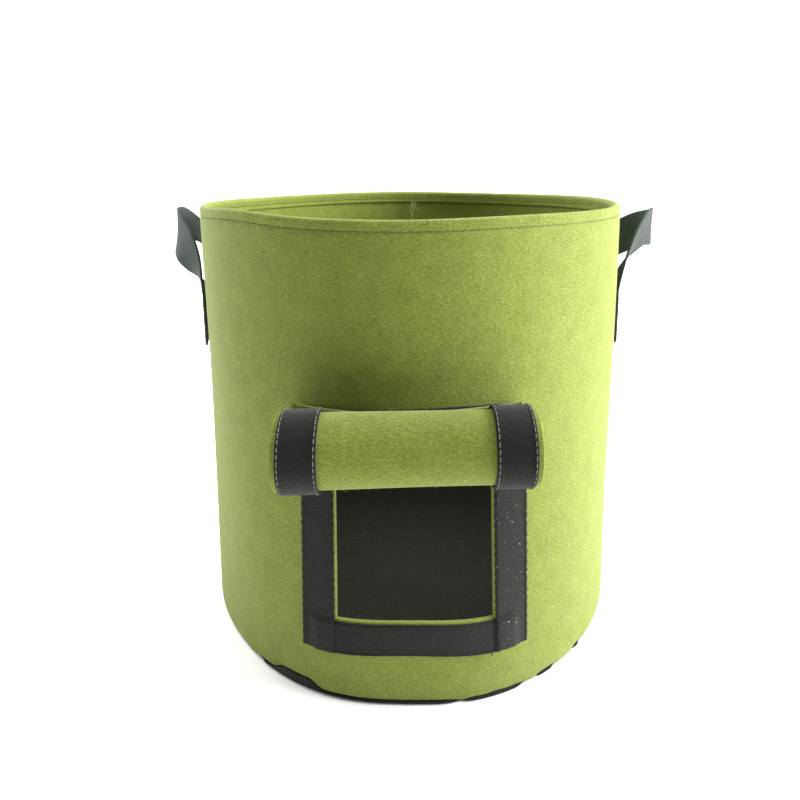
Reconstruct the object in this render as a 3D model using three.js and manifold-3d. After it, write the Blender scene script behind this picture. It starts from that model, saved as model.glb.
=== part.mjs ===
// Fabric grow bag: felt wall and base, a window with a roll-up flap, two webbing handles.
// Millimetres, +Z up, origin at the middle of the base's underside, window towards -Y.
import * as THREE from "three";
import { mergeVertices } from "three/addons/utils/BufferGeometryUtils.js";
import Module from "manifold-3d";

const wasm = await Module();
wasm.setup();

// bag body
const bagHeight = 336;
const rimRadius = 175;
const baseRadius = 178.5;
const felt = 3;
const hemDepth = 12;
const gap = 0.3;
const lipHeight = 8;
const lipRadius = baseRadius + gap + felt;

// window and the loop tapes round it (widths along the wall)
const windowLeft = -53;
const windowRight = 57.5;
const windowBottom = 66;
const windowTop = 203;
const tapeWidth = 25;
const tapeThick = 1.3;
const tapeEdge = 2.5;
const tapeFoot = 42;

// flap: a felt sheet rolled outwards and up, cut into slices that unroll as a chain
const flapLeft = -77;
const flapRight = 73;
const flapBack = -181.9;
const rollHeight = 207.8;
const seamHeight = 218.5;
const sliceCount = 10;
const sliceAngle = 0.817;
const rollRadius = 22.8;
const rollPitch = 5.2;
const sliceGap = 0.3;
const flapMargin = 2.5;
const bindingHeight = 6;

// handles: leg angles round from the window, then the places that the strap's middle passes
// (out from the bag's axis, back, up), each with the way that the strap's width points there
const webWidth = 32;
const webThick = 2;
const tabBottom = 220;
const tabTop = 258;
const handles = {
  left: { front: 78.5, back: 110, bends: [
    { at: 0.32, place: [183, -34, 291], width: [-0.5, -0.5, 0.6] },
    { at: 0.62, place: [195.5, -19, 305], width: [-0.33, -0.1, 0.9] },
    { at: 1, place: [206, 8, 315], width: [0, 0, 1] },
    { at: 1.47, place: [200, 40, 307], width: [0.2, 0.7, 0.55] },
  ] },
  right: { front: 79, back: 113, bends: [
    { at: 0.32, place: [182, -36, 295], width: [-0.15, -0.75, 0.6] },
    { at: 0.62, place: [200, -20, 312], width: [0.05, -0.2, 0.95] },
    { at: 1, place: [213.5, 4, 311], width: [-0.03, 0, 1] },
    { at: 1.5, place: [206, 42, 300], width: [0, 0.1, 0.95] },
  ] },
};
const legSlope = 120;
const loopGap = 1;

const threadRadius = 0.4;
const rad = Math.PI / 180;

const wallRadius = (z) => baseRadius + (rimRadius - baseRadius) * z / bagHeight;
const onWall = (angle, z, out) => {
  const r = wallRadius(z) + out;
  return [r * Math.sin(angle), -r * Math.cos(angle), z];
};
const mix = (a, b, t) => a + (b - a) * t;

const looks = {
  felt: { color: 0x8a9c42, roughness: 0.95 },
  dark: { color: 0x2a2b27, roughness: 0.95 },
  tape: { color: 0x25262a, roughness: 0.9 },
  web: { color: 0x4c5450, roughness: 0.8 },
  thread: { color: 0x9aa84e, roughness: 0.7 },
  greyThread: { color: 0xa9a9a2, roughness: 0.7 },
};

const group = new THREE.Group();
group.name = "fabric_grow_bag";

function add(name, geometry, look) {
  const material = new THREE.MeshStandardMaterial({ ...looks[look], metalness: 0 });
  const mesh = new THREE.Mesh(geometry, material);
  mesh.name = name;
  group.add(mesh);
}

// a closed body between two faces, each a grid of points
function sheet(nu, nv, front, back) {
  const points = [];
  const faces = [];
  for (const face of [front, back])
    for (let i = 0; i <= nu; i++)
      for (let j = 0; j <= nv; j++) points.push(...face(i / nu, j / nv));
  const at = (side, i, j) => side * (nu + 1) * (nv + 1) + i * (nv + 1) + j;
  const quad = (a, b, c, d) => faces.push(a, b, c, a, c, d);
  for (let i = 0; i < nu; i++)
    for (let j = 0; j < nv; j++) {
      quad(at(0, i, j), at(0, i + 1, j), at(0, i + 1, j + 1), at(0, i, j + 1));
      quad(at(1, i, j), at(1, i, j + 1), at(1, i + 1, j + 1), at(1, i + 1, j));
    }
  for (let i = 0; i < nu; i++) {
    quad(at(0, i, 0), at(1, i, 0), at(1, i + 1, 0), at(0, i + 1, 0));
    quad(at(0, i, nv), at(0, i + 1, nv), at(1, i + 1, nv), at(1, i, nv));
  }
  for (let j = 0; j < nv; j++) {
    quad(at(0, 0, j), at(0, 0, j + 1), at(1, 0, j + 1), at(1, 0, j));
    quad(at(0, nu, j), at(1, nu, j), at(1, nu, j + 1), at(0, nu, j + 1));
  }
  return outward(points, faces);
}

// turns the faces round when the body comes out inside out
function outward(points, faces) {
  const p = (k) => new THREE.Vector3().fromArray(points, 3 * k);
  let volume = 0;
  for (let k = 0; k < faces.length; k += 3)
    volume += p(faces[k]).dot(p(faces[k + 1]).cross(p(faces[k + 2])));
  if (volume < 0)
    for (let k = 0; k < faces.length; k += 3)
      [faces[k + 1], faces[k + 2]] = [faces[k + 2], faces[k + 1]];
  const geometry = new THREE.BufferGeometry();
  geometry.setAttribute("position", new THREE.Float32BufferAttribute(points, 3));
  geometry.setIndex(faces);
  geometry.computeVertexNormals();
  return geometry;
}

function toManifold(geometry) {
  const clean = geometry.clone();
  clean.deleteAttribute("normal");
  clean.deleteAttribute("uv");
  const merged = mergeVertices(clean, 1e-4);
  return new wasm.Manifold(new wasm.Mesh({
    numProp: 3,
    vertProperties: new Float32Array(merged.attributes.position.array),
    triVerts: new Uint32Array(merged.index.array),
  }));
}

function toGeometry(solid) {
  const mesh = solid.getMesh();
  return outward(Array.from(mesh.vertProperties), Array.from(mesh.triVerts));
}

const cut = (a, b) => toGeometry(toManifold(a).subtract(toManifold(b)));

// a lathe about Z, turned inside out when its profile runs the other way
function turned(profile, segments) {
  const lathe = new THREE.LatheGeometry(profile.map(([r, z]) => new THREE.Vector2(r, z)), segments);
  lathe.rotateX(Math.PI / 2);
  lathe.deleteAttribute("normal");
  lathe.deleteAttribute("uv");
  const merged = mergeVertices(lathe, 1e-4);
  const corners = Array.from(merged.index.array);
  const faces = [];
  for (let k = 0; k < corners.length; k += 3) {
    const [a, b, c] = corners.slice(k, k + 3);
    if (a !== b && b !== c && c !== a) faces.push(a, b, c);
  }
  return outward(Array.from(merged.attributes.position.array), faces);
}

// a patch lying along the wall: arc lengths left and right, heights, how far off the wall
function wallPatch(left, right, bottom, top, off, thick, columns = 12) {
  const face = (out) => (u, v) => {
    const z = mix(bottom, top, v);
    return onWall(mix(left, right, u) / wallRadius(windowTop / 2), z, out);
  };
  return sheet(columns, 2, face(off + thick), face(off));
}

// wall: one felt panel, its top edge folded inwards as a hem, the window cut out
function wallPanel() {
  const foot = felt + gap;
  const fold = [];
  const foldRadius = felt + gap / 2;
  for (let k = 0; k <= 6; k++) {
    const a = Math.PI * k / 6;
    fold.push([rimRadius - foldRadius + foldRadius * Math.cos(a),
      bagHeight - foldRadius + foldRadius * Math.sin(a)]);
  }
  const hemFoot = bagHeight - hemDepth;
  const profile = [
    [wallRadius(foot), foot],
    ...fold,
    [rimRadius - 2 * foldRadius, hemFoot],
    [rimRadius - felt - gap, hemFoot],
    [rimRadius - felt - gap, bagHeight - foldRadius],
    [rimRadius - felt, bagHeight - foldRadius],
    [wallRadius(foot) - felt, foot],
    [wallRadius(foot), foot],
  ];
  const opening = wallPatch(windowLeft, windowRight, windowBottom, windowTop, -20, 40, 16);
  add("wall_panel", cut(turned(profile, 96), opening), "felt");
}

// base: a dark felt disc whose edge turns up round the foot of the wall
function basePanel() {
  const profile = [
    [0, 0], [lipRadius - 1.5, 0], [lipRadius, 1.5], [lipRadius, lipHeight],
    [lipRadius - felt, lipHeight], [lipRadius - felt, felt], [0, felt],
  ];
  add("base_panel", turned(profile, 96), "dark");
}

// a line of stitching, as one closed ring of thread
function threadRing(name, radius, z, look) {
  const profile = [];
  for (let k = 0; k <= 6; k++) {
    const a = -Math.PI * k / 3;
    profile.push([radius + threadRadius * Math.cos(a), z + threadRadius * Math.sin(a)]);
  }
  profile[6] = profile[0];
  add(name, turned(profile, 96), look);
}

// loop tapes: two upright strips and one across the bottom between them
function loopTapes() {
  const inLeft = windowLeft - tapeEdge;
  const inRight = windowRight + tapeEdge;
  const cap = windowTop + 6;
  const foot = windowBottom - tapeEdge;
  const patch = (name, ...box) => add(name, wallPatch(...box, gap, tapeThick), "tape");
  patch("loop_tape_left", inLeft - tapeWidth + 1, inLeft, tapeFoot, cap);
  patch("loop_tape_right", inRight, inRight + tapeWidth - 1, tapeFoot, cap);
  patch("loop_tape_bottom", inLeft + gap, inRight - gap, foot - tapeWidth + 3, foot);
}

// header: the flap's sewn top, curved with the wall at the seam and straight at the roll
function flapHeader() {
  const face = (out) => (u, v) => {
    const x = mix(flapLeft, flapRight, u);
    const z = mix(rollHeight + sliceGap, seamHeight, v);
    const r = wallRadius(z) + 2 * gap + tapeThick + out;
    const t = v * v * (3 - 2 * v);
    return [x, mix(flapBack - out, -Math.sqrt(r * r - x * x), t), z];
  };
  add("flap_header", sheet(16, 6, face(felt), face(0)), "felt");
  add("flap_binding", wallPatch(flapLeft, flapRight, seamHeight + gap,
    seamHeight + bindingHeight, gap, tapeThick), "tape");
}

// the roll: radius of the felt's middle at a given turn, and a point on it
const rollCentre = flapBack - felt / 2 - rollRadius;
const spiral = (turn, out) => {
  const r = rollRadius - rollPitch * turn / (2 * Math.PI) + out;
  return [rollCentre + r * Math.cos(turn), rollHeight - r * Math.sin(turn)];
};

// one curved slice of the roll between two x positions and two distances off the felt's middle
function slice(first, last, left, right, low, high) {
  const face = (out) => (u, v) => {
    const [y, z] = spiral(mix(first, last, v), out);
    return [mix(left, right, u), y, z];
  };
  return sheet(1, 5, face(high), face(low));
}

// felt slices with their share of the hook tapes, counted from the header to the free edge
function flapSlices() {
  const hookAt = felt / 2 + gap;
  for (let k = 0; k < sliceCount; k++) {
    const start = k * sliceAngle;
    const r = rollRadius - rollPitch * start / (2 * Math.PI);
    const trim = sliceGap / 2 / r;
    const hookTrim = 1.6 / r;
    const end = start + sliceAngle;
    const name = String(k + 1).padStart(2, "0");
    add(`flap_slice_${name}`, slice(start + trim, end - trim, flapLeft, flapRight,
      -felt / 2, felt / 2), "felt");
    const hook = (side, left, right) => add(`hook_tape_${side}_${name}`,
      slice(start + hookTrim, end - hookTrim, left, right, hookAt, hookAt + 1), "tape");
    const inLeft = flapLeft + flapMargin + tapeWidth;
    const inRight = flapRight - flapMargin - tapeWidth;
    hook("left", flapLeft + flapMargin, inLeft);
    hook("right", inRight, flapRight - flapMargin);
    if (k >= sliceCount - 2) hook("bottom", inLeft + gap, inRight - gap);
  }
}

// a smooth line through keyed values, with its slope given at both ends
function throughKeys(keys, startSlope, endSlope) {
  const last = keys.length - 1;
  const slope = (i) => {
    if (i === 0) return startSlope;
    if (i === last) return endSlope;
    const span = keys[i + 1].at - keys[i - 1].at;
    return keys[i + 1].value.clone().sub(keys[i - 1].value).divideScalar(span);
  };
  return (t) => {
    let i = 0;
    while (i < last - 1 && t > keys[i + 1].at) i++;
    const span = keys[i + 1].at - keys[i].at;
    const s = (t - keys[i].at) / span;
    return keys[i].value.clone().multiplyScalar(2 * s ** 3 - 3 * s ** 2 + 1)
      .addScaledVector(slope(i), (s ** 3 - 2 * s ** 2 + s) * span)
      .addScaledVector(keys[i + 1].value, 3 * s ** 2 - 2 * s ** 3)
      .addScaledVector(slope(i + 1), (s ** 3 - s ** 2) * span);
  };
}

// a handle: two sewn tabs with a stitched box on each, and a loop of webbing between them
function handle(side) {
  const sign = side === "left" ? -1 : 1;
  const { front, back, bends } = handles[side];
  const offWall = 2 * gap;
  const half = webWidth / 2;
  const arc = wallRadius(windowTop / 2);
  for (const [end, angle] of [["front", front * rad], ["back", back * rad]]) {
    const mid = sign * angle * arc;
    const patch = (inset, off, thick) => wallPatch(mid - half + inset, mid + half - inset,
      tabBottom + inset, tabTop - inset, off, thick, 6);
    add(`handle_tab_${side}_${end}`, patch(0, offWall, webThick), "web");
    const box = cut(patch(4, offWall + webThick + gap, 0.8), patch(4.9, 0, 9));
    add(`box_stitch_${side}_${end}`, box, "greyThread");
  }
  const hub = wallRadius(tabTop) + offWall;
  const foot = (angle, turn) => ({
    place: [hub * Math.sin(angle), -hub * Math.cos(angle), tabTop + loopGap],
    width: [turn * Math.cos(angle), turn * Math.sin(angle), 0],
  });
  const stops = [{ at: 0, ...foot(front * rad, -1) }, ...bends, { at: 2, ...foot(back * rad, 1) }];
  const line = (what, slope) => throughKeys(
    stops.map((stop) => ({ at: stop.at, value: new THREE.Vector3(...stop[what]) })),
    new THREE.Vector3(0, 0, slope), new THREE.Vector3(0, 0, -slope));
  const middle = line("place", legSlope);
  const widthWay = line("width", 0);
  const step = 0.01;
  const face = (out) => (u, v) => {
    const t = 2 * u;
    const run = middle(Math.min(t + step, 2)).sub(middle(Math.max(t - step, 0))).normalize();
    const width = widthWay(t).projectOnPlane(run).normalize();
    const outside = new THREE.Vector3().crossVectors(run, width);
    const across = mix(-half, half, v);
    const nearFoot = Math.max(0, 1 - Math.min(t, 2 - t) / 0.3);
    const point = middle(t).addScaledVector(width, across)
      .addScaledVector(outside, out - nearFoot * across ** 2 / (2 * hub));
    return [sign * point.x, point.y, point.z];
  };
  add(`handle_loop_${side}`, sheet(32, 4, face(webThick), face(0)), "web");
}

wallPanel();
basePanel();
threadRing("rim_stitch", wallRadius(328.7) + gap + threadRadius, 328.7, "thread");
threadRing("base_stitch", lipRadius + gap + threadRadius, 5, "dark");
loopTapes();
flapHeader();
flapSlices();
handle("left");
handle("right");

export default group;
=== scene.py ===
# Felt grow bag with a roll-up window flap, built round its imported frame.
import math
import bpy
import numpy as np
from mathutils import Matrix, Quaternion, Vector


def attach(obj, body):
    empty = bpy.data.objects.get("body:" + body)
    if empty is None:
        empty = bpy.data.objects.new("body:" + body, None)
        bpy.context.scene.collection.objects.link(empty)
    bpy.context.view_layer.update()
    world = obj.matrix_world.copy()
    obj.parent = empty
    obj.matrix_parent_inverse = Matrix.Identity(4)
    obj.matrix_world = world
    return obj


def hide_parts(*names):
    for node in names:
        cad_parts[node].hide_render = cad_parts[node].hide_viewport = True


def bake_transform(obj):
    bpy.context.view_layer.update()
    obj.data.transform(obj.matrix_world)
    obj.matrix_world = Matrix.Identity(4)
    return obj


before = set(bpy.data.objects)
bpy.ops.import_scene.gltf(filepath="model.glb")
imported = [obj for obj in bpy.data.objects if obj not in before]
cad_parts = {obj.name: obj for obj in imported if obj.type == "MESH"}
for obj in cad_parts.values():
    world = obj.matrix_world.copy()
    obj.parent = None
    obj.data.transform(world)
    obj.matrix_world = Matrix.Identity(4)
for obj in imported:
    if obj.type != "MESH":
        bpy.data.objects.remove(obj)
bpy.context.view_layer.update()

# sizes shared by several pieces, in metres
bag = {
    "height": 0.336, "rimRadius": 0.175, "footRadius": 0.1785, "felt": 0.003,
    "gap": 0.0003, "hemDepth": 0.012, "rimStitchDrop": 0.0073, "arcRadius": 0.177,
    "flatDepth": 0.003, "flatAngle": 0.22, "softEdge": 0.0008,
}
window = {"left": -0.0525, "right": 0.0565, "bottom": 0.0622, "top": 0.203}
roll = {
    "left": -0.077, "right": 0.0718, "back": -0.1819, "height": 0.2078, "seam": 0.2168,
    "radius": 0.0228, "pitch": 0.0052, "slices": 10, "sliceAngle": 0.817, "tilt": 0.021,
    "tapeMargin": 0.0032, "tapeWidth": 0.0225, "tapeThick": 0.0012, "tapeBulge": 0.0006,
}


# small helpers
def hexColour(text):  # sRGB hex to linear RGBA
    parts = [int(text[i:i + 2], 16) / 255 for i in (0, 2, 4)]
    return [c / 12.92 if c <= 0.04045 else ((c + 0.055) / 1.055) ** 2.4 for c in parts] + [1.0]


def addNode(tree, kind, settings=None, links=None, **values):
    node = tree.nodes.new(kind)
    for key, value in (settings or {}).items():
        setattr(node, key, value)
    for key, value in values.items():
        numbered = key[0] == "i" and key[1:].isdigit()
        node.inputs[int(key[1:]) if numbered else key].default_value = value
    for key, source in (links or {}).items():
        tree.links.new(source, node.inputs[key])
    return node


def smooth(low, high, x):
    t = np.clip((x - low) / (high - low), 0, 1)
    return t * t * (3 - 2 * t)


# cloth is one (across, along) pair in metres for each point, kept as the UV map
def meshPiece(name, points, faces, cloth=None, material=None):
    points = np.asarray(points, float)
    mesh = bpy.data.meshes.new(name)
    mesh.from_pydata(points.tolist(), [], faces)
    if cloth is not None:
        layer = mesh.uv_layers.new(name="cloth")
        loops = np.zeros(len(mesh.loops), int)
        mesh.loops.foreach_get("vertex_index", loops)
        layer.data.foreach_set("uv", np.asarray(cloth, float)[loops].astype(np.float32).ravel())
    mesh.polygons.foreach_set("use_smooth", [True] * len(mesh.polygons))
    mesh.update()
    piece = bpy.data.objects.new(name, mesh)
    bpy.context.scene.collection.objects.link(piece)
    if material:
        mesh.materials.append(material)
    return piece


def facesOut(points, faces):  # turns the faces round if the body comes out inside out
    p = np.asarray(points, float)
    volume = 0.0
    for f in faces:
        a = p[f[0]]
        for i in range(1, len(f) - 1):
            volume += float(np.dot(a, np.cross(p[f[i]], p[f[i + 1]])))
    return faces if volume >= 0 else [tuple(reversed(f)) for f in faces]


def tubeFaces(around, rows):  # rings of points joined into a closed tube, its two caps last
    faces = [(k * around + i, k * around + (i + 1) % around, (k + 1) * around + (i + 1) % around,
              (k + 1) * around + i) for k in range(rows) for i in range(around)]
    return faces + [tuple(reversed(range(around))), tuple(rows * around + i for i in range(around))]


# a closed strip of cloth with softened edges: place turns (across, along, depth) into points
def slab(name, across, along, depth, columns, rows, place, edge=0.0009, material=None):
    back, front = depth
    edge = min(edge, (front - back) / 2 - 1e-6)
    turns = [math.radians(a) for a in (30, 60, 90)]
    us = np.linspace(across[0] + edge, across[1] - edge, columns + 1)
    vs = np.linspace(along[0] + edge, along[1] - edge, rows + 1)
    grid = np.array([(u, v) for u in us for v in vs])
    at = lambda i, j: i * (rows + 1) + j
    rim = [(i, 0) for i in range(columns + 1)] + [(columns, j) for j in range(1, rows + 1)]
    rim += [(i, rows) for i in range(columns - 1, -1, -1)]
    rim += [(0, j) for j in range(rows - 1, 0, -1)]
    way = np.array([((i == columns) - (i == 0), (j == rows) - (j == 0)) for i, j in rim], float)
    rimAt = np.array([at(i, j) for i, j in rim])
    flat, deep = [grid], [np.full(len(grid), front)]
    for a in turns:
        flat.append(grid[rimAt] + way * edge * math.sin(a))
        deep.append(np.full(len(rim), front - edge * (1 - math.cos(a))))
    for a in reversed(turns):
        flat.append(grid[rimAt] + way * edge * math.sin(a))
        deep.append(np.full(len(rim), back + edge * (1 - math.cos(a))))
    flat.append(grid)
    deep.append(np.full(len(grid), back))
    starts = np.cumsum([0] + [len(f) for f in flat])
    faces = []
    for i in range(columns):
        for j in range(rows):
            quad = (at(i, j), at(i + 1, j), at(i + 1, j + 1), at(i, j + 1))
            faces.append(quad)
            faces.append(tuple(int(starts[-2]) + k for k in reversed(quad)))
    loops = [rimAt] + [starts[k] + np.arange(len(rim)) for k in range(1, 2 * len(turns) + 1)]
    loops.append(starts[-2] + rimAt)
    for a, b in zip(loops, loops[1:]):
        for k in range(len(rim)):
            n = (k + 1) % len(rim)
            faces.append((int(a[k]), int(b[k]), int(b[n]), int(a[n])))
    flat, deep = np.concatenate(flat), np.concatenate(deep)
    points = place(flat[:, 0], flat[:, 1], deep)
    return meshPiece(name, points, facesOut(points, faces), flat, material)


def finishPiece(piece, body, nodes=()):
    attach(piece, body)
    if nodes:
        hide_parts(*nodes)
    return piece


# outer radius of the wall: a cone with the slack of soft felt, angle 0 at the window
def wallRadius(angle, z):
    h = z / bag["height"]
    r = bag["footRadius"] + (bag["rimRadius"] - bag["footRadius"]) * h
    middle = np.sin(np.clip(h, 0, 1) * math.pi)
    wave = lambda size, turns, start, lean: size * np.sin(turns * angle + start + lean * h)
    slack = wave(0.0011, 3, 0.6, 2.1) + wave(0.0008, 5, -1.3, -3.0) + wave(0.0005, 9, 0, 5.0)
    flat = bag["flatDepth"] * np.exp(-(angle / bag["flatAngle"]) ** 2) * (1 - smooth(0.56, 0.66, h))
    return r + slack * (0.35 + 0.65 * middle) - flat  # the front lies flatter below the flap


def rimShift(angle, z):  # the rim's edge isn't quite level
    hill = lambda height, middle, width: height * np.exp(-((angle - middle) / width) ** 2)
    rise = hill(0.0028, -0.75, 0.25) - hill(0.0018, 0, 0.35) + 0.0006 * np.sin(4 * angle + 1)
    return rise * smooth(0.6, 1.0, z / bag["height"])


# points off the wall's outside: arc is the width along the wall from the window's middle.
# The window narrows a little upwards, and its foot bows up in the middle.
def onWall(arc, z, off):
    arc, z = np.asarray(arc, float), np.asarray(z, float)
    narrow = 0.5 * (np.clip(z, 0.04, 0.21) - 0.06) * np.exp(-(arc / 0.13) ** 2)
    bow = 0.002 * np.exp(-(arc / 0.042) ** 2) * np.exp(-((z - 0.06) / 0.03) ** 2)
    angle = arc * (1 - narrow) / bag["arcRadius"]
    r = wallRadius(angle, z) + off
    return np.stack([r * np.sin(angle), -r * np.cos(angle), z + rimShift(angle, z) + bow], -1)


def wallOut(arc):  # which way the wall faces there
    angle = np.asarray(arc, float) / bag["arcRadius"]
    return np.stack([np.sin(angle), -np.cos(angle), 0 * angle], -1)


print("frame loaded")


lookNames = {"rough": "Roughness", "ior": "IOR", "specular": "Specular IOR Level",
             "sheen": "Sheen Weight", "sheenRough": "Sheen Roughness"}


def startMaterial(name, **looks):
    material = bpy.data.materials.new(name)
    material.use_nodes = True
    tree = material.node_tree
    tree.nodes.clear()
    out = addNode(tree, "ShaderNodeOutputMaterial")
    shader = addNode(tree, "ShaderNodeBsdfPrincipled")
    tree.links.new(shader.outputs[0], out.inputs[0])
    for look, value in looks.items():
        shader.inputs[lookNames[look]].default_value = value
    return material, tree, shader


def noise(tree, source, scale, detail, **values):
    return addNode(tree, "ShaderNodeTexNoise", links={"Vector": source}, Scale=scale,
                   Detail=detail, **values).outputs


def mathNode(tree, operation, links, **values):
    return addNode(tree, "ShaderNodeMath", {"operation": operation}, links, **values).outputs[0]


def endMaterial(tree, shader, colour, height, strength, distance, invert=False):
    tree.links.new(colour, shader.inputs["Base Color"])
    bump = addNode(tree, "ShaderNodeBump", {"invert": invert}, {"Height": height},
                   Strength=strength, Distance=distance)
    tree.links.new(bump.outputs[0], shader.inputs["Normal"])


def ramp(tree, source, stops):
    node = addNode(tree, "ShaderNodeValToRGB", links={"Fac": source})
    elements = node.color_ramp.elements
    while len(elements) < len(stops):
        elements.new(0.5)
    for element, (place, colour) in zip(elements, stops):
        element.position = place
        element.color = hexColour(colour)
    return node.outputs["Color"]


# needle-punched polyester felt: matt, short matted fibres lying every way, a little blotchy
def feltMaterial(name, dark, middle, light, fuzz):
    material, tree, shader = startMaterial(name, rough=0.95, ior=1.5,
                                           specular=0.15, sheen=fuzz, sheenRough=0.55)
    shader.inputs["Sheen Tint"].default_value = hexColour("e9ecc8")
    cloth = addNode(tree, "ShaderNodeUVMap", {"uv_map": "cloth"}).outputs[0]
    bend = noise(tree, cloth, 260.0, 1.0)
    warp = addNode(tree, "ShaderNodeVectorMath", {"operation": "MULTIPLY_ADD"},
                   {0: bend["Color"], 2: cloth}, i1=(0.0035, 0.0035, 0))
    fibres = []
    for turn, along, across in ((0.9, 330, 900), (-0.75, 380, 1000), (2.4, 420, 1150)):
        # bundles of fibres 2 to 3 mm long and 1 mm wide, coarser than single fibres so they show
        lay = addNode(tree, "ShaderNodeMapping", links={"Vector": warp.outputs[0]},
                      Rotation=(0, 0, turn), Scale=(along, across, 1))
        fibres.append(noise(tree, lay.outputs[0], 1.0, 2.0, Roughness=0.6)["Fac"])
    top = mathNode(tree, "MAXIMUM", {0: fibres[0], 1: fibres[1]})
    height = mathNode(tree, "MAXIMUM", {0: top, 1: fibres[2]})
    blotch = noise(tree, cloth, 70.0, 3.0)["Fac"]
    mixed = mathNode(tree, "MULTIPLY_ADD", {0: blotch, 2: height}, i1=0.2)
    colour = ramp(tree, mixed, ((0.5, dark), (0.7, middle), (0.93, light)))
    endMaterial(tree, shader, colour, height, 0.75, 0.0009)
    return material


# woven nylon hook or loop tape: a close pile in rows across the tape, almost no shine
def tapeMaterial(name, dark, light, lint):
    material, tree, shader = startMaterial(name, rough=0.9, ior=1.53,
                                           specular=0.2, sheen=0.08, sheenRough=0.5)
    cloth = addNode(tree, "ShaderNodeUVMap", {"uv_map": "cloth"}).outputs[0]
    rows = addNode(tree, "ShaderNodeMapping", links={"Vector": cloth},
                   Scale=(700, 1100, 1))  # pile rows about 1.4 by 0.9 mm
    pile = addNode(tree, "ShaderNodeTexVoronoi", links={"Vector": rows.outputs[0]}, Scale=1.0,
                   Randomness=0.75)
    fine = noise(tree, cloth, 1500.0, 2.0)["Fac"]
    mixed = mathNode(tree, "MULTIPLY", {0: pile.outputs["Distance"], 1: fine})
    colour = ramp(tree, mixed, ((0.05, dark), (0.5, light)))
    if lint:  # a few pale bits of fluff caught in the pile
        fluff = noise(tree, cloth, 520.0, 1.0)["Fac"]
        spot = addNode(tree, "ShaderNodeMapRange", links={"Value": fluff}, i1=lint, i2=lint + 0.06)
        mix = addNode(tree, "ShaderNodeMix", {"data_type": "RGBA"},
                      {0: spot.outputs[0], 6: colour}, i7=hexColour("8b8f7c"))
        colour = mix.outputs[2]
    endMaterial(tree, shader, colour, mixed, 0.7, 0.0008, True)
    return material


# woven polypropylene webbing: twill ribs running up the strap at a slant, a dull plastic shine
def webbingMaterial(name, dark, light):
    material, tree, shader = startMaterial(name, rough=0.85, ior=1.49, specular=0.12, sheen=0.05)
    cloth = addNode(tree, "ShaderNodeUVMap", {"uv_map": "cloth"}).outputs[0]
    ribs = addNode(tree, "ShaderNodeMapping", links={"Vector": cloth},
                   Rotation=(0, 0, 0.9), Scale=(1, 1, 1))
    twill = addNode(tree, "ShaderNodeTexWave", {"wave_type": "BANDS", "bands_direction": "X"},
                    {"Vector": ribs.outputs[0]}, Scale=210.0, Distortion=0.6)  # ribs 1.5 mm apart
    yarn = noise(tree, cloth, 900.0, 2.0)["Fac"]
    mixed = mathNode(tree, "MULTIPLY_ADD", {0: yarn, 2: twill.outputs["Fac"]}, i1=0.6)
    endMaterial(tree, shader, ramp(tree, mixed, ((0.2, dark), (1.0, light))), mixed, 0.6, 0.0006)
    return material


# spun polyester thread or a loose felt fibre: fine twisted plies with a soft shine
def threadMaterial(name, dark, light):
    material, tree, shader = startMaterial(name, rough=0.7, ior=1.5, specular=0.3)
    place = addNode(tree, "ShaderNodeTexCoord").outputs["Object"]
    plies = noise(tree, place, 1600.0, 1.0)["Fac"]
    endMaterial(tree, shader, ramp(tree, plies, ((0.35, dark), (0.65, light))), plies, 0.4, 0.0003)
    return material


greenFelt = feltMaterial("limeNeedlePunchedFelt", "556222", "6a7731", "84923f", 0.13)
darkFelt = feltMaterial("blackNeedlePunchedFelt", "0b0b0a", "161614", "272721", 0.1)
loopTape = tapeMaterial("wovenLoopTape", "080906", "151612", 0.0)
lintyLoopTape = tapeMaterial("wovenLoopTapeWithLint", "0a0b08", "191b14", 0.70)
hookTape = tapeMaterial("wovenHookTape", "070706", "141511", 0.0)
webbing = webbingMaterial("twillWebbing", "1c231f", "39433d")
greenThread = threadMaterial("greenSewingThread", "454f1c", "656f2e")
paleGreenThread = threadMaterial("looseGreenThread", "7a8548", "9da56e")
darkThread = threadMaterial("blackSewingThread", "080807", "191a15")
greyThread = threadMaterial("paleSewingThread", "525147", "79776d")
strapThread = threadMaterial("greySewingThread", "242826", "3a3f3b")
# needle holes along the rim: dark thread bits that paint the shade inside each hole
needleHoleShade = threadMaterial("needleHoleShadow", "323c15", "465320")
limeFibre = threadMaterial("looseLimeFibre", "778040", "98a06b")


# Geometry Nodes shared by every row of stitches and every patch of fuzz
def startTree(name, sizes):
    tree = bpy.data.node_groups.new(name, "GeometryNodeTree")
    tree.interface.new_socket("Geometry", in_out="INPUT", socket_type="NodeSocketGeometry")
    for label, kind in sizes:
        tree.interface.new_socket(label, in_out="INPUT", socket_type="NodeSocket" + kind)
    tree.interface.new_socket("Geometry", in_out="OUTPUT", socket_type="NodeSocketGeometry")
    given = addNode(tree, "NodeGroupInput").outputs
    return tree, given


def endTree(tree, instances, given):
    real = addNode(tree, "GeometryNodeRealizeInstances", links={0: instances})
    dressed = addNode(tree, "GeometryNodeSetMaterial",
                      links={"Geometry": real.outputs[0], "Material": given["Material"]})
    addNode(tree, "NodeGroupOutput", links={0: dressed.outputs[0]})
    return tree


def offsetAlong(tree, x=None, z=None):  # a point at (x, 0, z) from two values
    return addNode(tree, "ShaderNodeCombineXYZ", links={k: v for k, v in (("X", x), ("Z", z)) if v})


def times(tree, value, factor):
    return mathNode(tree, "MULTIPLY", {0: value}, i1=factor)


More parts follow.
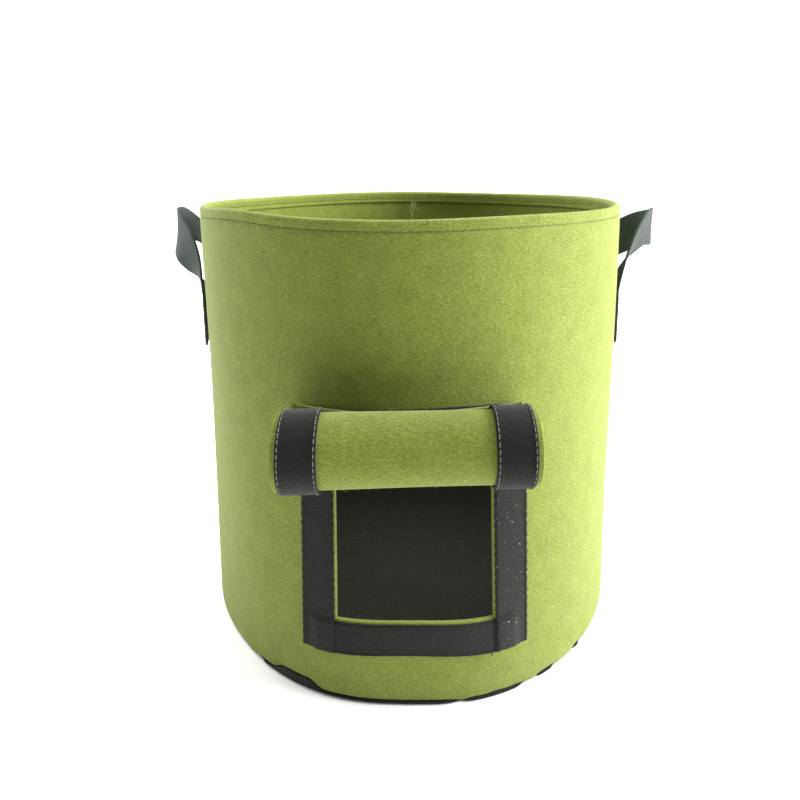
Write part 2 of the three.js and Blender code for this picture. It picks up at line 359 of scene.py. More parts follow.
def stitchTree():  # short arched threads laid end to end along a line
    tree, given = startTree("rowOfStitches", (
        ("Pitch", "Float"), ("Length", "Float"), ("Thread radius", "Float"), ("Rise", "Float"),
        ("Wander", "Float"), ("Seed", "Int"), ("Material", "Material")))
    line = addNode(tree, "GeometryNodeMeshToCurve", links={"Mesh": given["Geometry"]})
    even = addNode(tree, "GeometryNodeResampleCurve", {"mode": "LENGTH"},
                   {"Curve": line.outputs[0], "Length": given["Pitch"]})
    start = offsetAlong(tree, times(tree, given["Length"], -0.5))
    middle = offsetAlong(tree, None, given["Rise"])
    stop = offsetAlong(tree, times(tree, given["Length"], 0.5))
    arch = addNode(tree, "GeometryNodeCurveQuadraticBezier", links={
        "Start": start.outputs[0], "Middle": middle.outputs[0], "End": stop.outputs[0]},
        Resolution=4)
    section = addNode(tree, "GeometryNodeCurvePrimitiveCircle", {"mode": "RADIUS"},
                      {"Radius": given["Thread radius"]}, Resolution=5)
    thread = addNode(tree, "GeometryNodeCurveToMesh", links={
        "Curve": arch.outputs[0], "Profile Curve": section.outputs[0]})
    thread.inputs["Fill Caps"].default_value = True
    tangent = addNode(tree, "GeometryNodeInputTangent")
    outward = addNode(tree, "GeometryNodeInputNamedAttribute", {"data_type": "FLOAT_VECTOR"},
                      Name="out")
    lay = addNode(tree, "FunctionNodeAxesToRotation", {"primary_axis": "Z", "secondary_axis": "X"},
                  {0: outward.outputs[0], 1: tangent.outputs[0]})
    least = times(tree, given["Wander"], -1.0)
    sway = addNode(tree, "FunctionNodeRandomValue", {"data_type": "FLOAT"}, {
        2: least, 3: given["Wander"], "Seed": given["Seed"]})
    twist = addNode(tree, "FunctionNodeAxisAngleToRotation", links={"Angle": sway.outputs[1]},
                    Axis=(0, 0, 1))
    turned = addNode(tree, "FunctionNodeRotateRotation", {"rotation_space": "LOCAL"},
                     {0: lay.outputs[0], 1: twist.outputs[0]})
    laid = addNode(tree, "GeometryNodeInstanceOnPoints", links={
        "Points": even.outputs[0], "Instance": thread.outputs[0], "Rotation": turned.outputs[0]})
    return endTree(tree, laid.outputs[0], given)


def fuzzTree():  # loose fibres standing a little off a felt face
    tree, given = startTree("looseFibres", (
        ("Density", "Float"), ("Length", "Float"), ("Fibre radius", "Float"), ("Seed", "Int"),
        ("Material", "Material")))
    spread = addNode(tree, "GeometryNodeDistributePointsOnFaces", {"distribute_method": "RANDOM"}, {
        "Mesh": given["Geometry"], "Density": given["Density"], "Seed": given["Seed"]})
    length = given["Length"]
    middle = offsetAlong(tree, times(tree, length, 0.35), times(tree, length, 0.45))
    stop = offsetAlong(tree, length, times(tree, length, 0.3))
    bent = addNode(tree, "GeometryNodeCurveQuadraticBezier", links={
        "Middle": middle.outputs[0], "End": stop.outputs[0]}, Resolution=3, Start=(0, 0, 0))
    section = addNode(tree, "GeometryNodeCurvePrimitiveCircle", {"mode": "RADIUS"},
                      {"Radius": given["Fibre radius"]}, Resolution=3)
    fibre = addNode(tree, "GeometryNodeCurveToMesh", links={
        "Curve": bent.outputs[0], "Profile Curve": section.outputs[0]})
    anyWay = addNode(tree, "FunctionNodeRandomValue", {"data_type": "FLOAT"},
                     {"Seed": given["Seed"]}, i2=0.0, i3=2 * math.pi)
    spin = addNode(tree, "FunctionNodeAxisAngleToRotation", links={"Angle": anyWay.outputs[1]},
                   Axis=(0, 0, 1))
    turned = addNode(tree, "FunctionNodeRotateRotation", {"rotation_space": "LOCAL"},
                     {0: spread.outputs["Rotation"], 1: spin.outputs[0]})
    size = addNode(tree, "FunctionNodeRandomValue", {"data_type": "FLOAT"},
                   {"Seed": given["Seed"]}, i2=0.45, i3=1.3)
    laid = addNode(tree, "GeometryNodeInstanceOnPoints", links={
        "Points": spread.outputs["Points"], "Instance": fibre.outputs[0],
        "Rotation": turned.outputs[0], "Scale": size.outputs[1]})
    return endTree(tree, laid.outputs[0], given)


def grown(name, source, tree, values):  # the tree's result on a source, as a plain mesh piece
    modifier = source.modifiers.new("grow", "NODES")
    modifier.node_group = tree
    for socket in tree.interface.items_tree:
        if socket.in_out == "INPUT" and socket.name in values:
            modifier[socket.identifier] = values[socket.name]
    source.update_tag()
    ready = source.evaluated_get(bpy.context.evaluated_depsgraph_get())
    mesh = bpy.data.meshes.new_from_object(ready)
    source.modifiers.remove(modifier)
    mesh.name = name
    piece = bpy.data.objects.new(name, mesh)
    bpy.context.scene.collection.objects.link(piece)
    return piece


stitches = stitchTree()
fuzz = fuzzTree()


# a row of stitches along each line, a line being (points, the way its cloth faces)
def sewn(name, lines, material, pitch=0.0035, length=0.0029, radius=0.0003, rise=0.0006, seed=1):
    points, edges, outs = [], [], []
    for linePoints, lineOuts in lines:
        first = len(points)
        points += [tuple(p) for p in linePoints]
        outs += [tuple(o) for o in np.broadcast_to(lineOuts, np.shape(linePoints))]
        edges += [(first + k, first + k + 1) for k in range(len(linePoints) - 1)]
    mesh = bpy.data.meshes.new(name + "Line")
    mesh.from_pydata(points, edges, [])
    way = mesh.attributes.new("out", "FLOAT_VECTOR", "POINT")
    way.data.foreach_set("vector", np.asarray(outs, np.float32).ravel())
    source = bpy.data.objects.new(name + "Line", mesh)
    bpy.context.scene.collection.objects.link(source)
    piece = grown(name, source, stitches, {
        "Pitch": pitch, "Length": length, "Thread radius": radius, "Rise": rise,
        "Wander": 0.07, "Seed": seed, "Material": material})
    bpy.data.objects.remove(source)
    return piece


def furred(piece, seed, density=9000.0, length=0.0022):
    return grown(piece.name + "Fuzz", piece, fuzz, {
        "Density": density, "Length": length, "Fibre radius": 0.00006, "Seed": seed,
        "Material": limeFibre})


# a loose end of thread through a few points
def threadEnd(name, ends, radius, material, sides=6):
    points, faces = [], []
    for path in ends:
        path = np.asarray(path, float)
        run = np.gradient(path, axis=0)
        run /= np.linalg.norm(run, axis=1)[:, None]
        side = np.cross(run, (0.3, 0.9, 0.2))
        side /= np.linalg.norm(side, axis=1)[:, None]
        other = np.cross(run, side)
        first = len(points)
        for k in range(len(path)):
            for s in range(sides):
                a = 2 * math.pi * s / sides
                points.append(path[k] + radius * (math.cos(a) * side[k] + math.sin(a) * other[k]))
        ring = lambda k, s: first + k * sides + s % sides
        for k in range(len(path) - 1):
            for s in range(sides):
                faces.append((ring(k, s), ring(k, s + 1), ring(k + 1, s + 1), ring(k + 1, s)))
        faces.append(tuple(ring(0, s) for s in reversed(range(sides))))
        faces.append(tuple(ring(len(path) - 1, s) for s in range(sides)))
    return meshPiece(name, points, facesOut(points, faces), None, material)


# base: a black felt disc sewn under the wall. Its edge shows in patches, most at the front left,
# where the wall's foot rides up over it. Each patch is its middle and width in degrees and its size
base = {
    "inset": 0.0036, "reach": 0.0003, "lip": 0.0055, "swell": 0.003, "corner": 0.0012,
    "low": 0.0008,
    "patches": ((-28, 10, 1.1), (-5, 18, 0.62), (19, 8, 0.66), (33, 4, 0.45), (45, 3, 0.4),
                (118, 20, 0.6), (-130, 26, 0.6), (170, 24, 0.55)),
}


def basePatch(angles):  # 0 where the edge hides inside the wall, 1 where it shows most
    total = 0 * angles
    for middle, width, height in base["patches"]:
        away = (np.degrees(angles) - middle + 180) % 360 - 180
        total = np.maximum(total, height * np.exp(-(away / width) ** 2))
    return np.clip(total + 0.03 * np.sin(23 * angles) * total, 0, 1)


def baseLip(angles):
    return bag["felt"] + base["lip"] * smooth(0.6, 1.0, basePatch(angles))


def footHeight(angles):
    over = baseLip(angles) + bag["gap"] - base["low"]
    return base["low"] + over * smooth(0.1, 0.4, basePatch(angles))


# wall: one felt panel with its rim folded in and the window cut out
def wallPanel():
    height, felt, gap = bag["height"], bag["felt"], bag["gap"]
    foot, foldR = felt + gap, felt + gap / 2
    half = felt / 2
    path = []  # (middle of the felt off the wall's outside, height, normal out, normal up)
    stitched = height - bag["rimStitchDrop"]
    rows = list(np.linspace(foot, height - foldR, 76)) + [window["bottom"], window["top"]]
    straight = sorted(set(rows + [stitched + d for d in (-0.003, -0.0015, 0, 0.0015)]))
    near = lambda z: min(abs(z - window["bottom"]), abs(z - window["top"]))
    straight = [z for z in straight if near(z) < 1e-9 or near(z) > 0.002]
    for z in straight:
        path.append((-half, z, 1.0, 0.0))
    for k in range(1, 8):
        a = math.pi * k / 8
        bend = foldR - half
        path.append((-foldR + bend * math.cos(a), height - foldR + bend * math.sin(a),
                     math.cos(a), math.sin(a)))
    for z in np.linspace(height - foldR, height - bag["hemDepth"], 6):
        path.append((-2 * foldR + half, z, -1.0, 0.0))
    path = np.array(path)
    length = np.concatenate([[0], np.cumsum(np.hypot(np.diff(path[:, 0]), np.diff(path[:, 1])))])
    arcs = np.linspace(-math.pi, math.pi, 385)[:-1] * bag["arcRadius"]
    for edge in (window["left"], window["right"]):
        arcs[np.argmin(np.abs(arcs - edge))] = edge
    seam = math.pi * bag["arcRadius"]
    grooveEdges = [s * (seam - d) for d in (0.0006, 0.0013) for s in (-1, 1)]
    arcs = np.sort(np.concatenate([arcs, grooveEdges]))
    n, m = len(arcs), len(path)
    pressed = 0.00075 * np.exp(-((path[:, 1] - stitched) / 0.0016) ** 2)  # by the rim stitches
    points, cloth = [], []
    for side in (1, -1):
        for arc in arcs:
            off = path[:, 0] + side * half * path[:, 2]
            z = path[:, 1] + side * half * path[:, 3]
            lift = footHeight(np.array([arc / bag["arcRadius"]])) - foot
            z = z + lift * (1 - smooth(foot, 0.02, z))
            off = off - pressed * path[:, 2] * (side > 0)
            if side > 0:  # the back seam's groove
                groove = 0.0010 * math.exp(-((seam - abs(arc)) / 0.0012) ** 2)
                off = off - groove * (path[:, 2] > 0.9)
            points.append(onWall(np.full(m, arc), z, off))
            cloth.append(np.stack([np.full(m, arc), 0.05 + length + 0.2 * (side < 0)], 1))
    points, cloth = np.concatenate(points), np.concatenate(cloth)
    at = lambda side, i, j: side * n * m + (i % n) * m + j

    def inside(i, j):  # whether this cell lies in the window
        middle, level = (arcs[i] + arcs[(i + 1) % n]) / 2, (path[j][1] + path[j + 1][1]) / 2
        return (window["left"] - 1e-6 < middle < window["right"] and i < n - 1
                and path[j][2] > 0.9 and path[j + 1][2] > 0.9
                and window["bottom"] < level < window["top"])

    # the two ends of each side of a cell, and where the neighbour across it is
    sides = (((0, 0), (0, 1), (-1, 0)), ((1, 1), (1, 0), (1, 0)),
             ((1, 0), (0, 0), (0, -1)), ((0, 1), (1, 1), (0, 1)))
    faces = []
    for i in range(n):
        for j in range(m - 1):
            if inside(i, j):
                continue
            faces.append((at(0, i, j), at(0, i + 1, j), at(0, i + 1, j + 1), at(0, i, j + 1)))
            faces.append((at(1, i, j), at(1, i, j + 1), at(1, i + 1, j + 1), at(1, i + 1, j)))
            for (ai, aj), (bi, bj), (di, dj) in sides:
                if 0 <= j + dj < m - 1 and not inside((i + di) % n, j + dj):
                    continue
                a, b = (i + ai, j + aj), (i + bi, j + bj)
                faces.append((at(0, *a), at(0, *b), at(1, *b), at(1, *a)))
    wall = meshPiece("wall", points, facesOut(points, faces), cloth, greenFelt)
    bevel = wall.modifiers.new("softEdges", "BEVEL")
    bevel.width, bevel.segments, bevel.limit_method = bag["softEdge"], 2, "ANGLE"
    bevel.angle_limit = math.radians(50)
    finishPiece(wall, "bag", ["wall_panel"])
    finishPiece(furred(wall, 7, 5500.0), "bag")


# stitches, needle holes drawn as painted shade, and thread ends on the wall
def wallSewing():
    height, whole = bag["height"], math.pi * bag["arcRadius"]
    arcs = np.linspace(-whole, whole, 700)
    high = height - bag["rimStitchDrop"]
    outside = lambda off: (onWall(arcs, np.full(700, high), off), wallOut(arcs))
    inside = (onWall(arcs, np.full(700, high), -0.0067), -wallOut(arcs))
    shifted = tuple(part[2:] for part in outside(-0.0010))
    rimThread, holeShadeSizes = (0.0054, 0.0034, 0.00038, 0.0007), (0.0054, 0.0021, 0.00045, 0.0006)
    # the rim's needle holes are short dark threads sunk a little into the felt, as painted shade
    rows = [sewn("rimStitchOutside", [outside(-0.0008)], greenThread, *rimThread, 3),
            sewn("rimStitchInside", [inside], greenThread, *rimThread, 5),
            sewn("rimNeedleHoleShade", [shifted], needleHoleShade, *holeShadeSizes, 4)]
    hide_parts("rim_stitch")
    zs = np.linspace(0.006, height - 0.014, 120)
    seam = [(onWall(np.full(120, s * (whole - 0.0045)), zs, 0.0), wallOut(np.full(120, s * whole)))
            for s in (-1, 1)]
    rows.append(sewn("backSeamStitches", seam, greenThread, 0.0042, 0.0031, 0.00032, 0.0007, 6))
    top = height - 0.011
    ends = []
    for x, drop, lean in ((0.0015, 0.029, 0.002), (0.0042, 0.018, -0.0015), (0.0060, 0.010, 0.003)):
        s = np.linspace(0, 1, 14)
        sway = x + lean * s * s + 0.0006 * np.sin(9 * s + x * 900)
        back = bag["rimRadius"] - 0.0075 - 0.0012 * np.sin(3 * s)
        ends.append(np.stack([sway, back, top - drop * s], 1))
    rows.append(threadEnd("looseThreadEnds", ends, 0.00032, paleGreenThread))
    for row in rows:
        finishPiece(row, "bag")
    s = np.linspace(0, 1, 8)
    tail = onWall(0.0545 + 0.0004 * np.sin(5 * s), 0.0405 - 0.006 * s, 0.0012 + 0.0006 * s)
    finishPiece(threadEnd("blackThreadTail", [tail], 0.0003, darkThread), "bag")


wallPanel()
wallSewing()
print("wall made")


def basePanel():
    t, c, columns = bag["felt"], base["corner"], 360
    angles = np.linspace(-math.pi, math.pi, columns, endpoint=False)
    patch, wall = basePatch(angles), wallRadius(angles, 0.0)
    reach = wall - base["inset"] + (base["reach"] + base["inset"]) * smooth(0.1, 0.4, patch)
    lip = baseLip(angles)
    inner = reach - t

    def swell(share):
        uneven = 0.75 + 0.25 * share * np.sin(3 * angles)
        rise = base["swell"] * (1 - smooth(0.55, 0.93, share)) * uneven
        ripple = 0.0006 * np.sin(5 * angles - 14 * share) * share * (1 - smooth(0.8, 0.97, share))
        return np.maximum(rise + ripple, 0)

    # each ring is its radius, its height and its radius in the flat cloth
    rings = [(s * (reach - c), swell(s), s * reach) for s in np.linspace(0.02, 1, 34)]
    for k in range(1, 5):
        a = math.pi / 2 * k / 4
        rings.append((reach - c + c * math.sin(a), c - c * math.cos(a), reach + c * a))
    for k in range(5):
        a = math.pi / 2 * k / 4
        side = (reach - c + c * math.cos(a), lip - c + c * math.sin(a))
        rings.append((*side, reach + 0.002 + c * a))
    rings.append((inner + 0.0003, lip, reach + 0.005))
    rings.append((inner, np.maximum(lip - 0.0003, t), reach + 0.0055))
    rings.append((inner - 0.0001, t, reach + 0.006 + lip))
    rings += [(s * inner - 0.0002, swell(s) + t, s * reach) for s in np.linspace(1, 0.02, 32)]
    points, cloth = [], []
    for r, z, flat in rings:
        r, z, flat = (np.broadcast_to(v, columns) for v in (r, z, flat))
        points.append(np.stack([r * np.sin(angles), -r * np.cos(angles), z], 1))
        cloth.append(np.stack([flat * np.sin(angles), flat * np.cos(angles)], 1))
    faces = tubeFaces(columns, len(rings) - 1)
    points, cloth = np.concatenate(points), np.concatenate(cloth)
    piece = meshPiece("base", points, facesOut(points, faces), cloth, darkFelt)
    finishPiece(piece, "bag", ["base_panel"])
    out = np.stack([np.sin(angles), -np.cos(angles), 0 * angles], 1)
    edge = out * (reach + 0.0001)[:, None] + np.array([0, 0, 0.0019])
    row = sewn("baseEdgeStitches", [(edge, out)], darkThread, 0.006, 0.0044, 0.00035, 0.0004, 8)
    finishPiece(row, "bag", ["base_stitch"])


basePanel()
print("base made")


# loop tapes round the window, the side ones lying over the ends of the bottom one
tapes = {
    "edge": 0.001, "outerLeft": -0.0775, "outerRight": 0.082, "foot": 0.0375, "top": 0.209,
    "low": 0.036, "thick": 0.0013, "seat": 0.0002, "stitchInset": 0.0016,
}


def overStrip(arc, z):  # how much a side tape rises over the bottom tape's end
    edge = window["bottom"] - tapes["edge"]
    past = np.where(arc < 0, arc - tapes["outerLeft"], tapes["outerRight"] - arc)
    below = 1 - smooth(edge - 0.0005, edge + 0.0025, z)
    return tapes["thick"] * below * smooth(0.006, 0.012, past)


def loopTapes():
    thick, seat = tapes["thick"], tapes["seat"]
    inLeft, inRight = window["left"] - tapes["edge"], window["right"] + tapes["edge"]
    edge = window["bottom"] - tapes["edge"]

    def side(arc, z, off):
        fray = 0.0003 * np.sin(z * 900) + 0.0002 * np.sin(z * 2100 + 1)
        return onWall(arc + fray, z, off + overStrip(arc, z) + seat)

    def across(arc, z, off):  # the lower edge bows up in the middle
        bow = 0.0025 * np.exp(-(arc / 0.045) ** 2) * (edge - z) / (edge - tapes["low"])
        return onWall(arc, z + bow, off + seat)

    spans = {"Left": (tapes["outerLeft"], inLeft), "Right": (inRight, tapes["outerRight"])}
    made = {}
    for name, span in spans.items():
        pile = lintyLoopTape if name == "Right" else loopTape
        made[name] = slab("loopTape" + name, span, (tapes["foot"], tapes["top"]), (0, thick), 10,
                          90, side, 0.0004, pile)
    ends = (tapes["outerLeft"] + 0.0095, tapes["outerRight"] - 0.0095)
    made["Bottom"] = slab("loopTapeBottom", ends, (tapes["low"], edge), (0, thick), 60, 8, across,
                          0.0004, loopTape)
    for name, piece in made.items():
        node = "loop_tape_" + name.lower()
        finishPiece(piece, "bag", [node])
    inset, top, lines = tapes["stitchInset"], thick + 0.00005, []
    zs = np.linspace(tapes["foot"] + inset, tapes["top"] - inset, 90)
    for low, high in spans.values():
        for arc in (low + inset, high - inset):
            arcs = np.full(90, arc)
            lines.append((side(arcs, zs, top), wallOut(arcs)))
    arcs = np.linspace(inLeft + 0.001, inRight - 0.001, 60)
    for z in (tapes["low"] + inset, edge - inset):
        lines.append((across(arcs, np.full(60, z), top), wallOut(arcs)))
    row = sewn("loopTapeStitches", lines, darkThread, 0.0034, 0.0026, 0.00026, 0.0005, 9)
    finishPiece(row, "bag")


loopTapes()
print("loop tapes made")


# flap: rolled outwards and up, one strip of felt cut where its slices meet
rollAxis = roll["back"] - bag["felt"] / 2 - roll["radius"]
headerLength = roll["seam"] - roll["height"]
shrink = roll["pitch"] / (2 * math.pi)


def turnAt(along):  # turn of the spiral at a length along the felt past the header
    s = np.maximum(along, 0)
    return (roll["radius"] - np.sqrt(roll["radius"] ** 2 - 2 * shrink * s)) / shrink


def alongAt(turn):
    return roll["radius"] * turn - shrink * turn ** 2 / 2


# points on the rolled flap: along is measured down from the seam, off towards the roll's outside
def onFlap(x, along, off):
    past = along - headerLength
    turn = turnAt(past)
    inTape = np.minimum(x - roll["left"], roll["right"] - x)
    tapeEnd = roll["tapeMargin"] + roll["tapeWidth"]
    onTape = (off > bag["felt"] / 2) & (inTape < tapeEnd + 0.0001)
    stands = roll["tapeBulge"] * np.where(onTape, 1, 1 - smooth(tapeEnd - 0.004, tapeEnd, inTape))
    off = off + stands * smooth(0, 0.012, past) + 0.0004 * np.sin(2 * turn + x * 30)
    r = roll["radius"] - shrink * turn + off
    up = np.clip(-past / headerLength, 0, 1)
    t = up * up * (3 - 2 * up)
    straight = roll["height"] - past
    behind = wallRadius(x / 0.18, straight) + 0.0021 + (bag["felt"] / 2 - off)
    hanging = (1 - t) * (roll["back"] - bag["felt"] / 2 + off) - t * np.sqrt(behind ** 2 - x ** 2)
    y = np.where(past < 0, hanging, rollAxis + r * np.cos(turn))
    z = np.where(past < 0, straight, roll["height"] - r * np.sin(turn))
    z = z + x * roll["tilt"] * smooth(-headerLength, 0.01, past)
    return np.stack([x, y, z], 1)


# a strip whose long sides are rounded and whose cut ends meet the next strip's exactly
def openSlab(name, across, along, depth, columns, rows, material, closed):
    back, front = depth
    edge = min(0.0009, (front - back) / 2 - 1e-6)
    ring = [(u, front, 0, 1) for u in np.linspace(across[0] + edge, across[1] - edge, columns + 1)]
    corner = [math.radians(a) for a in (30, 60, 90)]
    over = [(across[1] - edge + edge * math.sin(a), front - edge * (1 - math.cos(a)), math.sin(a),
             math.cos(a)) for a in corner]
    ring += over + [(u, back + front - d, nu, -nd) for u, d, nu, nd in over[::-1]]
    half = len(ring)
    ring += [(sum(across) - u, back + front - d, -nu, -nd) for u, d, nu, nd in ring[:half]]
    ring = np.array(ring)
    count = len(ring)
    vs = np.linspace(along[0], along[1], rows + 1)
    u, d, nu, nd = (np.tile(ring[:, k], rows + 1) for k in range(4))
    v = np.repeat(vs, count)
    for row, on in ((0, closed[0]), (rows, closed[1])):
        if on:  # a free end tapers
            part = slice(row * count, (row + 1) * count)
            d[part] = (back + front) / 2 + (d[part] - (back + front) / 2) * 0.72
    points = onFlap(u, v, d)
    ahead = onFlap(u + 1e-5 * nu, v, d + 1e-5 * nd) - points
    normals = ahead / np.linalg.norm(ahead, axis=1)[:, None]
    faces = tubeFaces(count, rows)
    piece = meshPiece(name, points, facesOut(points, faces), np.stack([u, v], 1), material)
    mesh = piece.data
    loopNormals = []
    for polygon in mesh.polygons:
        cap = polygon.index >= len(mesh.polygons) - 2
        for i in polygon.vertices:
            loopNormals.append(tuple(polygon.normal) if cap else tuple(normals[i]))
    mesh.normals_split_custom_set(loopNormals)
    return piece


def flapPieces():
    half, count, step = bag["felt"] / 2, roll["slices"], roll["sliceAngle"]
    mids = [headerLength + alongAt((k + 0.5) * step) for k in range(count)]
    end = headerLength + alongAt(count * step)
    cuts = [0.0] + mids + [end]
    names = ["bag"] + [f"flap_{k + 1:02d}" for k in range(count)]
    margin, width, hem = roll["tapeMargin"], roll["tapeWidth"], 0.0015
    under = half + 0.0003
    depth = (under, under + roll["tapeThick"])
    columns = {"left": (roll["left"] + margin, roll["left"] + margin + width),
               "right": (roll["right"] - margin - width, roll["right"] - margin)}
    bottomStart = end - 0.0265

    def onPose(piece, k, nodes=()):
        if nodes:
            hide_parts(*nodes)
        if k == count:
            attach(piece, names[count])
            return
        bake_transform(piece)

    families = {"felt": ([], []), "left": ([], []), "right": ([], []), "bottom": ([], [])}
    for k in range(count + 1):
        rows = 24 if k == 0 else (18 if k < count else 9)
        closed = (k == 0, k == count)
        stop = cuts[k + 1] - hem * (k == count)
        felt = openSlab(f"flapFelt{k:02d}", (roll["left"], roll["right"]), (cuts[k], cuts[k + 1]),
                        (-half, half), 60, rows, greenFelt, closed)
        onPose(felt, k, [f"flap_slice_{k:02d}" if k else "flap_header"])
        onPose(furred(felt, 20 + k, 4000.0), k)
        families["felt"][0].append(felt)
        families["felt"][1].append(cuts[k + 1] - cuts[k])
        start = cuts[k] if k else headerLength * 0.4
        lines = []
        for side, span in columns.items():
            tape = openSlab(f"hookTape{side.title()}{k:02d}", span, (start, stop), depth, 12, rows,
                            hookTape, closed)
            onPose(tape, k, [f"hook_tape_{side}_{k:02d}"] if k else [])
            families[side][0].append(tape)
            families[side][1].append(stop - start)
            for x in (span[0] + 0.0014, span[1] - 0.0014):
                down, over = np.linspace(start + 0.00175, stop - 0.00175, 24), np.full(24, x)
                lines.append([onFlap(over, down, np.full(24, depth[1] + d))
                              for d in (0.0001, 0.0011)])
        if k >= count - 1:
            low = bottomStart if k == count - 1 else cuts[k]
            span = (columns["left"][1] + 0.0002, columns["right"][0] - 0.0002)
            tape = openSlab(f"hookTapeBottom{k:02d}", span, (low, stop), depth, 30, rows, hookTape,
                            (k == count - 1, k == count))
            onPose(tape, k, [f"hook_tape_bottom_{k:02d}"])
            families["bottom"][0].append(tape)
            families["bottom"][1].append(stop - low)
        row = sewn(f"flapStitches{k:02d}", [(a, (b - a) / 0.001) for a, b in lines], greyThread,
                   0.0035, 0.0026, 0.00024, 0.0005, 40 + k)
        onPose(row, k)


# black woven edge standing up behind the flap's seam, a little askew
def flapBinding():
    def place(arc, z, off):
        return onWall(arc, z + 0.012 * (arc + 0.02) - 0.5 * arc * arc, off + 0.0002)

    span = (roll["left"] + 0.001, roll["right"] - 0.001)
    strip = slab("flapBinding", span, (0.2125, 0.2176), (0, 0.0014), 50, 4, place, 0.0004, hookTape)
    finishPiece(strip, "bag", ["flap_binding"])
    s = np.linspace(0, 1, 8)
    tail = onWall(0.008 + 0.003 * s, 0.2178 + 0.002 * np.sin(3 * s), 0.002 + 0.002 * s)
    finishPiece(threadEnd("flapThreadTail", [tail], 0.00022, greyThread), "bag")


flapPieces()
flapBinding()
print("flap made")


# handles: one strap each, sewn down at both ends. Each key is how far along (0 to 2) and where:
# out from the bag's middle, back and up in mm, then which way the strap's width lies there
handles = {
    "width": 0.032, "thick": 0.002, "tabFoot": 0.220, "tabTop": 0.2585, "slope": 0.120,
    "seat": 0.0008,
    "left": {"sign": -1, "front": 78.5, "back": 110, "keys": (
        (0.32, (183, -34, 291), (-0.5, -0.5, 0.6)), (0.62, (195.5, -19, 305), (-0.33, -0.1, 0.9)),
        (1, (206, 8, 315), (0, 0, 1)), (1.47, (200, 40, 307), (0.2, 0.7, 0.55)))},
    "right": {"sign": 1, "front": 79, "back": 113, "keys": (
        (0.32, (182, -36, 295), (-0.15, -0.75, 0.6)), (0.62, (200, -20, 312), (0.05, -0.2, 0.95)),
        (1, (213.5, 4, 311), (-0.03, 0, 1)), (1.5, (206, 42, 300), (0, 0.1, 0.95)))},
}


def throughKeys(keys, startSlope, endSlope, count=121):  # a smooth run through the keys, for 0 to 2
    at = np.array([k[0] for k in keys], float)
    value = np.array([k[1] for k in keys], float)
    inner = (value[2:] - value[:-2]) / (at[2:] - at[:-2])[:, None]
    slope = np.vstack([startSlope, inner, endSlope])
    ts = np.linspace(0, 2, count)
    k = np.clip(np.searchsorted(at, ts, side="right") - 1, 0, len(at) - 2)
    step = (at[k + 1] - at[k])[:, None]
    s = (ts - at[k])[:, None] / step
    return ((2 * s ** 3 - 3 * s ** 2 + 1) * value[k] + (s ** 3 - 2 * s ** 2 + s) * step * slope[k]
            + (3 * s ** 2 - 2 * s ** 3) * value[k + 1] + (s ** 3 - s ** 2) * step * slope[k + 1])


def strapPlace(side):
    h, top = handles[side], handles["tabTop"]
    tab = top - handles["tabFoot"]
    front, back = math.radians(h["front"]), math.radians(h["back"])
    foot = lambda a: wallRadius(h["sign"] * a, top) + handles["seat"]
    ends = [(foot(a) * math.sin(a), -foot(a) * math.cos(a), top) for a in (front, back)]
    ways = [(-math.cos(front), -math.sin(front), 0), (math.cos(back), math.sin(back), 0)]
    up = np.array([0, 0, handles["slope"]])
    places = [(t, np.array(where) / 1000) for t, where, way in h["keys"]]
    widths = [(t, way) for t, where, way in h["keys"]]
    middle = throughKeys([(0, ends[0])] + places + [(2, ends[1])], up, -up)
    width = throughKeys([(0, ways[0])] + widths + [(2, ways[1])], 0 * up, 0 * up)
    run = np.gradient(middle, axis=0)
    run /= np.linalg.norm(run, axis=1)[:, None]
    run[0], run[-1] = (0, 0, 1), (0, 0, -1)
    width -= run * np.sum(run * width, axis=1)[:, None]
    width /= np.linalg.norm(width, axis=1)[:, None]
    outside = np.cross(run, width)
    at = np.concatenate([[0], np.cumsum(np.linalg.norm(np.diff(middle, axis=0), axis=1))])
    loop = at[-1]

    def place(b, along, off):
        s = np.clip(along - tab, 0, loop)
        pick = lambda field: np.stack([np.interp(s, at, field[:, k]) for k in range(3)], 1)
        near = 1 - smooth(0, 0.03, np.minimum(s, loop - s))
        bow = near * b * b / (2 * bag["arcRadius"])
        arched = pick(middle) + b[:, None] * pick(width) + (off - bow)[:, None] * pick(outside)
        rear = along > tab + loop / 2
        down = np.where(rear, along - tab - loop, tab - along)
        angle = np.where(rear, back + b / bag["arcRadius"], front - b / bag["arcRadius"])
        z = top - down
        r = wallRadius(h["sign"] * angle, np.minimum(z, top)) + handles["seat"] + off
        sewnDown = np.stack([r * np.sin(angle), -r * np.cos(angle), z], 1)
        t = smooth(0, 0.010, -down)[:, None]
        mixed = sewnDown * (1 - t) + arched * t
        return mixed * np.array([h["sign"], 1, 1])

    return place, tab, loop


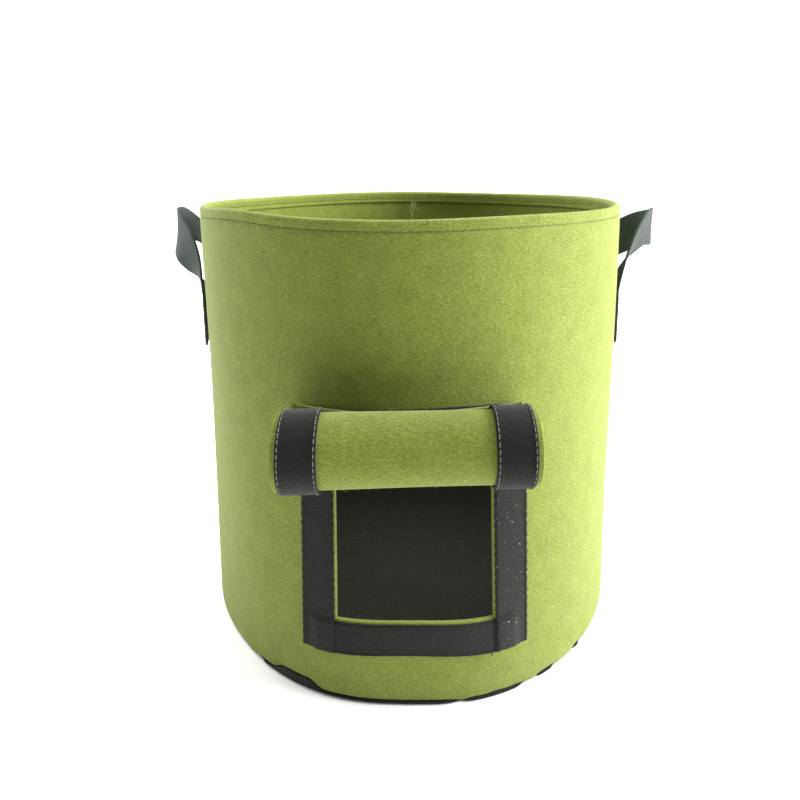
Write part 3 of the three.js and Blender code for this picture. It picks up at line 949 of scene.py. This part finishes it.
def handlePieces():
    half, thick, inset = handles["width"] / 2, handles["thick"], 0.0032
    for side in ("left", "right"):
        place, tab, loop = strapPlace(side)
        whole = 2 * tab + loop
        strap = slab(f"handle{side.title()}", (-half, half), (0, whole), (0, thick), 16, 170,
                     place, 0.0007, webbing)
        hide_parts(f"handle_loop_{side}", f"handle_tab_{side}_front",
                    f"handle_tab_{side}_back")
        lines = []
        for near, far in ((inset, tab - 0.002), (whole - inset, whole - tab + 0.002)):
            edge = half - inset
            box = [(-edge, near), (edge, near), (edge, far), (-edge, far)]
            for a, b in ((0, 1), (1, 2), (2, 3), (3, 0), (0, 2), (1, 3)):
                s = np.linspace(0, 1, 20)[:, None]
                line = np.array(box[a]) * (1 - s) + np.array(box[b]) * s
                low, high = (place(line[:, 0], line[:, 1], np.full(20, thick + d))
                             for d in (0.0001, 0.0011))
                lines.append((low, (high - low) / 0.001))
        box = sewn(f"boxStitches{side.title()}", lines, strapThread, 0.0032, 0.0026, 0.0003, 0.0005,
                   60 + handles[side]["sign"])
        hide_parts(f"box_stitch_{side}_front", f"box_stitch_{side}_back")
        for piece, slotName in ((strap, "webbing"), (box, "grey_thread")):
            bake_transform(piece)


handlePieces()
print("handles made")


# floor, camera and lights
stage = {
    "floor": "f8f8f7", "world": 0.4, "lens": 26.235, "sensor": 36, "shift": (-0.0126, -0.158),
    "place": (0, -0.5175, 0.366), "tip": 79.54, "roll": -0.35,
}
# name, place, what it points at, size in metres, watts, colour
lights = (
    ("keyRight", (1.4, -0.13, 0.7), (0, 0, 0.2), 0.9, 85, (1, 0.93, 0.98)),
    ("fillLeft", (-1.27, 0.59, 0.6), (0, 0, 0.2), 1.0, 34, (1, 1, 1)),
    ("frontSoft", (0.1, -1.6, 1.3), (0, 0, 0.15), 1.2, 3, (1, 1, 1)),
    ("topSoft", (0.1, 0.3, 1.8), (0, 0, 0.2), 1.2, 30, (1, 1, 1)),
    ("paperLight", (0, 1.2, 2.5), (0, 2.6, 0.8), 1.5, 130, (1, 1, 1)),
)


def addStage():
    bend = []
    for k in range(13):
        a = math.pi / 2 * k / 12
        bend.append((2.2 + 1.6 * math.sin(a), 1.6 - 1.6 * math.cos(a)))
    profile = [(-4.0, 0.0), (-1.0, 0.0), (0.0, 0.0), (1.0, 0.0)] + bend + [(3.8, 6.0)]
    points = [(x, y, z - 0.0002) for y, z in profile for x in (-9, 9)]
    faces = [(2 * k, 2 * k + 1, 2 * k + 3, 2 * k + 2) for k in range(len(profile) - 1)]
    floor = meshPiece("floor", points, faces)
    material, _, shader = startMaterial("paperBackdrop", rough=0.9)  # plain pale paper
    shader.inputs["Base Color"].default_value = hexColour(stage["floor"])
    floor.data.materials.append(material)
    world = bpy.data.worlds.new("softRoom")
    bpy.context.scene.world = world
    world.use_nodes = True
    world.node_tree.nodes["Background"].inputs[0].default_value = (1, 1, 1, 1)
    world.node_tree.nodes["Background"].inputs[1].default_value = stage["world"]


def addLight(name, place, aim, size, power, colour):
    light = bpy.data.lights.new(name, "AREA")
    light.shape, light.size, light.energy = "SQUARE", size, power
    light.color = colour
    lamp = bpy.data.objects.new(name, light)
    bpy.context.scene.collection.objects.link(lamp)
    lamp.location = place
    lamp.rotation_euler = (Vector(aim) - Vector(place)).to_track_quat("-Z", "Y").to_euler()


def addCamera():
    data = bpy.data.cameras.new("camera")
    camera = bpy.data.objects.new("camera", data)
    bpy.context.scene.collection.objects.link(camera)
    data.sensor_width, data.lens = stage["sensor"], stage["lens"]
    data.shift_x, data.shift_y = stage["shift"]
    camera.rotation_mode = "QUATERNION"
    camera.location = stage["place"]
    camera.rotation_quaternion = (Quaternion((1, 0, 0), math.radians(stage["tip"]))
                                  @ Quaternion((0, 0, 1), math.radians(stage["roll"])))
    data.clip_start = 0.01
    bpy.context.scene.camera = camera


addStage()
for light in lights:
    addLight(*light)
bpy.context.scene.view_settings.view_transform = "Standard"
addCamera()
print("stage ready")
